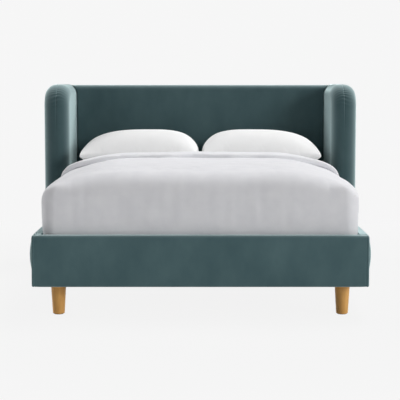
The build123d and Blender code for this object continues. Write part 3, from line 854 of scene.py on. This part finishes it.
def make_duvet(cotton):
    """The duvet, hollow over the mattress, with a rolled back edge."""
    skirt = duvet_skirt()
    plateau = duvet_plateau()
    inner_skirt, inner_plateau = duvet_lining()
    outer = back_edge(skirt, plateau)
    inner = back_edge(inner_skirt, inner_plateau)
    turns = np.linspace(0, math.pi, duvet_roll_steps + 1)[:, None, None]
    middle = (outer + inner) / 2
    gap = np.linalg.norm(outer - inner, axis=1, keepdims=True) / 2
    swell = np.minimum(gap, duvet_roll) * (0, 1, 0)
    roll = middle + np.cos(turns) * (outer - inner) / 2 + np.sin(turns) * swell
    under = (skirt[-1] + inner_skirt[-1]) / 2 - (0, 0, duvet_hem_thickness / 3)
    hem = np.stack([skirt[-1], under, inner_skirt[-1]])
    piece = welded("duvet_cover", [skirt, plateau, inner_skirt, inner_plateau, roll, hem])
    dressed(piece, "duvet", cotton, "duvet")


def pillow_sheet(side):
    """One flat half of a pillow case before it is filled."""
    shares = np.linspace(-1, 1, pillow_grid + 1)
    a, b = np.meshgrid(shares, np.linspace(-1, 1, round(pillow_grid * pillow_grid_share) + 1))
    pull = 1 - pillow_pull_share * a * a * b * b
    x = pillow_flat_width / 2 * a * pull
    y = pillow_flat_depth / 2 * b * pull
    z = side * pillow_start_height * np.sqrt(np.clip((1 - a * a) * (1 - b * b), 0, 1))
    return np.stack([x, y, z], -1)


def inflate(piece):
    """Fill a pillow case by cloth simulation until it is full enough."""
    cloth = piece.modifiers.new("fill", "CLOTH")
    for setting, value in pillow_cloth.items():
        setattr(cloth.settings, setting, value)
    cloth.settings.effector_weights.gravity = 0
    cloth.collision_settings.use_collision = False
    cloth.point_cache.frame_end = pillow_frames
    for step in range(1, pillow_frames + 1):
        scene.frame_set(step)
        shape = piece.evaluated_get(bpy.context.evaluated_depsgraph_get())
        co = np.empty(len(shape.data.vertices) * 3)
        shape.data.vertices.foreach_get("co", co)
        co = co.reshape(-1, 3)
        if np.ptp(co[:, 2]) > pillow_full_share * pillow_flat_depth:
            break
    piece.modifiers.clear()
    scene.frame_set(1)
    return co


def pillow_crown(across):
    """A pillow's ridge as a share, from its inner end at 0 to its outer end at 1."""
    near = np.clip(1 - across / pillow_peak_share, 0, 1)
    far = np.clip((across - pillow_peak_share) / (1 - pillow_peak_share), 0, 1)
    inner = np.sqrt(1 - near**pillow_inner_power)
    return inner * (1 - far**pillow_outer_power) ** pillow_wedge_power


def plain_filling(flat):
    """Heights of a smoothly filled case, below zero on its under half."""
    a, b = np.abs(flat[:, :2] / np.abs(flat[:, :2]).max(0)).T
    full = (1 - a**pillow_length_power) * (1 - b**pillow_depth_power)
    return np.sign(flat[:, 2]) * np.sqrt(np.clip(full, 0, 1))


def plan_shares(points):
    """Where each point lies in the plan of all of them, from 0 to 1."""
    plan = points[:, :2]
    return (plan - plan.min(0)) / np.ptp(plan, axis=0)


def pillow_shape(flat, filled, side):
    """Fit the filled case to the pillow's room and let it lie on the mattress."""
    low = np.array(pillow_low[:2])
    high = np.array(pillow_high[:2])
    even = plan_shares(flat)
    full = plan_shares(filled)
    relief = np.abs(filled[:, 2]) / filled[:, 2].max() - np.abs(plain_filling(flat))
    depth = np.abs(flat[:, 1]) / flat[:, 1].max()
    dome = np.clip(1 - depth**pillow_depth_power, 0, 1) ** pillow_depth_wedge
    height = pillow_crown(even[:, 0]) * dome * (1 + pillow_relief_share * relief)
    height = np.sign(flat[:, 2]) * height
    seam_z = pillow_low.z + pillow_seam_height
    z = seam_z + np.where(height > 0, height * (pillow_high.z - seam_z), height * pillow_belly)
    plan = between(low, high, between(even, full, pillow_relief_share))
    plan[:, 0] *= side
    return np.column_stack([plan, np.maximum(z, pillow_low.z + seat_gap)])


def make_pillows(cotton):
    """Two filled pillows side by side at the headboard."""
    for name, side in both_sides:
        piece = welded("pillow_case_" + name, [pillow_sheet(1), pillow_sheet(-1)])
        flat = np.array([vertex.co for vertex in piece.data.vertices])
        filled = inflate(piece)
        piece.data.vertices.foreach_set("co", pillow_shape(flat, filled, side).ravel())
        if side < 0:
            piece.data.flip_normals()
        piece.data.update()
        node = "pillow_" + name
        dressed(refined(piece), node, cotton, node)


def mattress_levels():
    """Insets and heights of the mattress's loops, from the middle below to the middle above."""
    steps = edge_steps(mattress_edge_radius, mattress_edge_steps)
    rim = list(zip(edge_inset(steps, mattress_edge_radius), steps))
    inner = spaced(mattress_edge_radius, mattress_width / 2, mattress_step)[1:]
    return (
        [(inset, mattress_low.z) for inset in inner[::-1]]
        + [(inset, mattress_low.z + rise) for inset, rise in rim]
        + [(0, z) for z in spaced(low_edge_z, high_edge_z, mattress_step)[1:-1]]
        + [(inset, mattress_high.z - drop) for inset, drop in rim[::-1]]
        + [(inset, mattress_high.z) for inset in inner]
    )


def mattress_loop(inset, radius):
    """Plan points round the mattress at an inset from its sides."""
    counts = (round(mattress_width / mattress_step), round(mattress_length / mattress_step))
    return rounded_loop(mattress_low, mattress_high, [radius] * 4, counts, inset)


def make_mattress(ticking):
    """The mattress with its quilted top."""
    rows = []
    for inset, z in mattress_levels():
        loop = mattress_loop(inset, mattress_corner_radius)
        rows.append(np.column_stack([loop, np.full(len(loop), z)]))
    grid = np.array(rows)
    u = (grid[..., 0] + grid[..., 1]) / quilt_pitch
    v = (grid[..., 0] - grid[..., 1]) / quilt_pitch
    puff = np.sqrt(np.abs(np.sin(math.pi * u) * np.sin(math.pi * v)))
    top = grid[..., 2] > mattress_high.z - weld_gap
    middle_y = (mattress_low.y + mattress_high.y) / 2
    side = mattress_width / 2 - np.abs(grid[..., 0])
    end = mattress_length / 2 - np.abs(grid[..., 1] - middle_y)
    inside = smooth_rise(np.minimum(side, end), mattress_edge_radius, 3 * mattress_edge_radius)
    grid[..., 2] -= np.where(top, quilt_depth * (1 - puff) * inside, 0)
    piece = welded("mattress_cover", [grid], wrap=True)
    dressed(piece, "mattress", ticking, "mattress")


def make_piping(ticking):
    """The piping along the mattress's upper and lower edges."""
    inset = piping_inset - piping_radius
    path = mattress_loop(inset, mattress_corner_radius + inset)
    ahead = np.roll(path, -1, 0) - np.roll(path, 1, 0)
    way = np.stack([ahead[:, 1], -ahead[:, 0]], 1)
    way = way / np.linalg.norm(way, axis=1, keepdims=True)
    for name, z in (("top", high_edge_z), ("bottom", low_edge_z)):
        rings = []
        for turn in np.linspace(0, 2 * math.pi, piping_steps + 1):
            out = path + way * piping_radius * math.cos(turn)
            up = np.full(len(path), z + piping_radius * math.sin(turn))
            rings.append(np.column_stack([out, up]))
        tape = welded("mattress_piping_" + name, [np.array(rings)], wrap=True)
        dressed(tape, "mattress", ticking)


def paint(name):
    """A new material and its node tree."""
    material = bpy.data.materials.new(name)
    material.use_nodes = True
    return material, material.node_tree


def add(tree, kind, sockets=None, **settings):
    """Add one node, with its settings, and with values or links for its sockets."""
    made = tree.nodes.new(kind)
    for key, value in settings.items():
        setattr(made, key, value)
    for key, value in (sockets or {}).items():
        if isinstance(value, bpy.types.NodeSocket):
            tree.links.new(value, made.inputs[key])
        else:
            made.inputs[key].default_value = value
    return made


def places(tree, scale=(1, 1, 1)):
    """Coordinates that stay with the piece, scaled along each axis."""
    own = add(tree, "ShaderNodeTexCoord").outputs["Object"]
    return add(tree, "ShaderNodeMapping", {"Vector": own, "Scale": scale}).outputs["Vector"]


def clouds(tree, where, scale, detail=3, roughness=0.55):
    """A noise texture's value."""
    sockets = {"Vector": where, "Scale": scale, "Detail": detail, "Roughness": roughness}
    return add(tree, "ShaderNodeTexNoise", sockets).outputs["Fac"]


def ramp(tree, value, stops):
    """Colours that follow a value."""
    made = add(tree, "ShaderNodeValToRGB", {"Fac": value})
    elements = made.color_ramp.elements
    while len(elements) < len(stops):
        elements.new(0.5)
    for element, (place, colour) in zip(elements, stops):
        element.position = place
        element.color = (*colour, 1)
    return made.outputs["Color"]


def combined(tree, operation, first, second):
    """One value worked out from two."""
    return add(tree, "ShaderNodeMath", {0: first, 1: second}, operation=operation).outputs[0]


def sum_of(tree, first, second, share=1.0):
    """Two values added, the second by a share."""
    return combined(tree, "ADD", first, combined(tree, "MULTIPLY", second, share))


def surfaced(material, colour, relief, values, strength, height):
    """Give a material its colour and its relief, and set its shader's other values."""
    tree = material.node_tree
    surface = tree.nodes["Principled BSDF"]
    sockets = {"Height": relief, "Strength": strength, "Distance": height}
    normal = add(tree, "ShaderNodeBump", sockets).outputs["Normal"]
    tree.links.new(colour, surface.inputs["Base Color"])
    tree.links.new(normal, surface.inputs["Normal"])
    for name, value in values.items():
        surface.inputs[name].default_value = value
    return material


def velvet_finish(name, lift):
    """Teal velvet: a dark pile, its tones scaled by a lift, whose colour is mixed towards a pale
    painted sheen where it is seen side-on.
    """
    material, tree = paint(name)
    where = places(tree)
    brushed = clouds(tree, places(tree, (2.2, 2.2, 1.3)), scale=3.0, detail=4)
    dark, pale = ([lift * part for part in tone] for tone in velvet_tones)
    colour = ramp(tree, brushed, ((0.3, dark), (0.7, pale)))
    # Painted sheen: the base colour turns pale where the surface is seen side-on, by the Layer
    # Weight's facing
    facing = add(tree, "ShaderNodeLayerWeight", {"Blend": 0.5}).outputs["Facing"]
    painted_sheen_share = combined(tree, "POWER", facing, velvet_painted_sheen_power)
    sockets = {0: painted_sheen_share, 6: colour, 7: velvet_painted_sheen_tone}
    seen = add(tree, "ShaderNodeMix", sockets, data_type="RGBA").outputs[2]
    pile = clouds(tree, where, scale=900, detail=2)
    tufts = clouds(tree, where, scale=160, detail=2)
    relief = sum_of(tree, pile, tufts, share=0.6)
    values = {
        "Roughness": 0.85,
        "Specular IOR Level": 0.12,
        "Sheen Weight": 1.0,
        "Sheen Roughness": 0.3,
        "Sheen Tint": (0.8, 1.0, 1.0, 1),
    }
    return surfaced(material, seen, relief, values, strength=0.16, height=velvet_pile_height)


def woven_finish(name, tones, thread, sheen):
    """Plain woven cloth with crossing threads and faint unevenness."""
    material, tree = paint(name)
    where = places(tree)
    colour, shade = tones
    tone = ramp(tree, clouds(tree, where, scale=14, detail=4), ((0.35, shade), (0.65, colour)))
    sockets = {"Vector": where, "Scale": wave_texture_pitch / thread, "Distortion": 0.4}
    threads = [
        add(tree, "ShaderNodeTexWave", sockets, bands_direction=axis).outputs["Fac"]
        for axis in "XYZ"
    ]
    crossed = sum_of(tree, sum_of(tree, threads[0], threads[1]), threads[2])
    fuzz = clouds(tree, where, scale=700, detail=2)
    relief = sum_of(tree, crossed, fuzz, share=0.8)
    values = {
        "Roughness": 0.88,
        "Specular IOR Level": 0.15,
        "Sheen Weight": sheen,
        "Sheen Roughness": 0.5,
    }
    return surfaced(material, tone, relief, values, strength=0.12, height=thread_height)


def wood_finish(name, along, tones, gloss):
    """Sawn or turned wood whose grain runs along one axis."""
    material, tree = paint(name)
    where = places(tree, [grain_stretch_share if axis == along else 1.0 for axis in "XYZ"])
    figure = clouds(tree, where, scale=26, detail=5, roughness=0.6)
    lines = clouds(tree, where, scale=240, roughness=0.6)
    pale, dark = tones
    middle = [(a + b) / 2 for a, b in zip(pale, dark)]
    mixed = sum_of(tree, figure, lines, share=0.35)
    colour = ramp(tree, mixed, ((0.42, dark), (0.62, middle), (0.86, pale)))
    values = {"Roughness": gloss, "Specular IOR Level": 0.35}
    return surfaced(material, colour, lines, values, strength=0.14, height=pore_height)


def board_finish():
    """Pressed board with chips of two tones."""
    material, tree = paint("pressed_board")
    chips = clouds(tree, places(tree, (1, 1, 0.4)), scale=180, roughness=0.7)
    dark, pale = board_tones
    colour = ramp(tree, chips, ((0.4, dark), (0.62, pale)))
    return surfaced(material, colour, chips, {"Roughness": 0.8}, strength=0.3, height=chip_height)


def metal_finish(name, colour, metallic, roughness, grain):
    """Coated or plated steel with a fine grain."""
    material, tree = paint(name)
    specks = clouds(tree, places(tree), scale=grain)
    darker = [0.8 * part for part in colour]
    tone = ramp(tree, specks, ((0.3, darker), (0.7, colour)))
    values = {"Metallic": metallic, "Roughness": roughness}
    return surfaced(material, tone, specks, values, strength=0.1, height=metal_grain_height)


def lining_finish():
    """Black non-woven lining with its grid of bonding points."""
    material, tree = paint("black_lining")
    where = places(tree)
    cells = add(tree, "ShaderNodeTexVoronoi", {"Vector": where, "Scale": 330.0}).outputs["Distance"]
    fibres = clouds(tree, where, scale=420)
    dark, pale = lining_tones
    colour = ramp(tree, fibres, ((0.35, dark), (0.7, pale)))
    relief = sum_of(tree, cells, fibres, share=0.4)
    values = {"Roughness": 0.9}
    return surfaced(material, colour, relief, values, strength=0.3, height=lining_height)


def construction_finishes():
    """Each finish with the starts of its nodes' names, the board last for all the rest."""
    oak = wood_finish("oak", "Z", oak_tones, gloss=0.42)
    pine_across, pine_along, pine_upright = (
        wood_finish(name, axis, pine_tones, gloss=0.62)
        for name, axis in (("pine_across", "X"), ("pine_along", "Y"), ("pine_upright", "Z"))
    )
    board = board_finish()
    black_steel = metal_finish(
        "black_steel", black_steel_tone, metallic=0.4, roughness=0.45, grain=500
    )
    zinc = metal_finish("zinc_steel", zinc_tone, metallic=1.0, roughness=0.34, grain=260)
    plastic = metal_finish("black_plastic", plastic_tone, metallic=0.0, roughness=0.5, grain=380)
    felt = woven_finish("felt", felt_tones, felt_thread, sheen=0.3)
    return (
        (felt, "leg_glides"),
        (zinc, "leg_studs,slat_screws,centre_rail_screws,corner_bolts,ledge_screws,wing_plate"),
        (black_steel, "centre_rail_cup,centre_leg,corner_bracket"),
        (plastic, "centre_foot"),
        (oak, "leg_"),
        (pine_along, "slat_ledge,centre_rail"),
        (pine_across, "slat_,corner_block"),
        (pine_upright, "wing_frame"),
        (lining_finish(), "back_lining"),
        (board, ""),
    )


def finish_nodes():
    """Give every construction node its own finish."""
    finishes = [(finish, tuple(starts.split(","))) for finish, starts in construction_finishes()]
    for name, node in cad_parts.items():
        finish = next(finish for finish, starts in finishes if name.startswith(starts))
        if not node.material_slots:
            node.data.materials.append(finish)
        for place in node.material_slots:
            place.material = finish


def bare_tree(owner):
    """The node tree of a material or a world, without any nodes."""
    owner.use_nodes = True
    owner.node_tree.nodes.clear()
    return owner.node_tree


def seen_directly(tree):
    """One for rays from the camera, mirrors and glass, and zero for light on the object."""
    path = add(tree, "ShaderNodeLightPath").outputs
    seen = path["Is Camera Ray"]
    for ray in ("Is Glossy Ray", "Is Transmission Ray"):
        seen = combined(tree, "MAXIMUM", seen, path[ray])
    return seen


def make_floor():
    """A pale floor that fades into the backdrop and keeps the bed's soft shadow."""
    shell = bmesh.new()
    bmesh.ops.create_circle(shell, cap_ends=True, segments=floor_sides, radius=floor_radius)
    mesh = bpy.data.meshes.new("floor")
    shell.to_mesh(mesh)
    shell.free()
    material = bpy.data.materials.new("pale_floor")
    tree = bare_tree(material)
    where = add(tree, "ShaderNodeTexCoord").outputs["Object"]
    distance = add(tree, "ShaderNodeVectorMath", {0: where}, operation="LENGTH").outputs["Value"]
    sockets = {
        "Value": distance,
        "From Min": floor_fade_start,
        "From Max": floor_fade_end,
        "To Min": floor_shadow_share,
        "To Max": 0.0,
    }
    near = add(tree, "ShaderNodeMapRange", sockets, interpolation_type="SMOOTHSTEP").outputs[0]
    lit = add(tree, "ShaderNodeBsdfDiffuse", {"Color": floor_tone}).outputs[0]
    plain = add(tree, "ShaderNodeEmission", {"Color": backdrop_tone, "Strength": 1.0}).outputs[0]
    seen = add(tree, "ShaderNodeMixShader", {0: near, 1: plain, 2: lit}).outputs[0]
    shown = add(tree, "ShaderNodeMixShader", {0: seen_directly(tree), 1: lit, 2: seen}).outputs[0]
    add(tree, "ShaderNodeOutputMaterial", {"Surface": shown})
    floor = placed("floor", mesh)
    floor.data.materials.append(material)


def make_world():
    """A pale backdrop that gives the object only a little light."""
    world = bpy.data.worlds.new("studio")
    tree = bare_tree(world)
    sockets = {"Value": seen_directly(tree), "To Min": room_level, "To Max": 1.0}
    level = add(tree, "ShaderNodeMapRange", sockets).outputs[0]
    sockets = {"Color": backdrop_tone, "Strength": level}
    light = add(tree, "ShaderNodeBackground", sockets).outputs[0]
    add(tree, "ShaderNodeOutputWorld", {"Surface": light})
    scene.world = world


def make_lamps():
    """Soft square lamps, aimed at the bed, that each light a white face by their level."""
    for name, turn_degrees, rise_degrees, distance, size, level in lamps:
        turn = math.radians(turn_degrees)
        rise = math.radians(rise_degrees)
        flat = distance * math.cos(rise)
        away = Vector((flat * math.sin(turn), -flat * math.cos(turn), distance * math.sin(rise)))
        data = bpy.data.lights.new(name, "AREA")
        data.size = size
        data.energy = level * (math.pi * distance) ** 2
        lamp = placed(name, data)
        lamp.location = away + Vector(light_target)
        lamp.rotation_euler = away.to_track_quat("Z", "Y").to_euler()


def make_camera():
    """The camera at the photograph's angle."""
    data = bpy.data.cameras.new("camera")
    data.lens = focal_share * data.sensor_width
    camera = placed("camera", data)
    camera.location = camera_place
    camera.rotation_euler = (math.radians(90 - camera_pitch_degrees), 0, 0)
    scene.camera = camera


scene.view_settings.view_transform = "Standard"
make_camera()
make_world()
make_lamps()
make_floor()
finish_nodes()

velvet = velvet_finish("teal_velvet", lift=1.0)
# The rails get a lighter painted copy of the velvet, standing in for the floor's bounce light
painted_lighter_rail_velvet = velvet_finish("teal_velvet_painted_lighter", rail_velvet_painted_lift)
make_foot_rail_cover(painted_lighter_rail_velvet)
make_side_rail_covers(painted_lighter_rail_velvet)
make_headboard_cover(velvet)
make_wing_covers(velvet)
make_duvet(woven_finish("duvet_cotton", duvet_tones, duvet_thread, sheen=0.1))
make_pillows(woven_finish("pillow_cotton", pillow_tones, pillow_thread, sheen=0.1))
ticking = woven_finish("mattress_cover", mattress_tones, mattress_thread, sheen=0.1)
make_mattress(ticking)
make_piping(ticking)
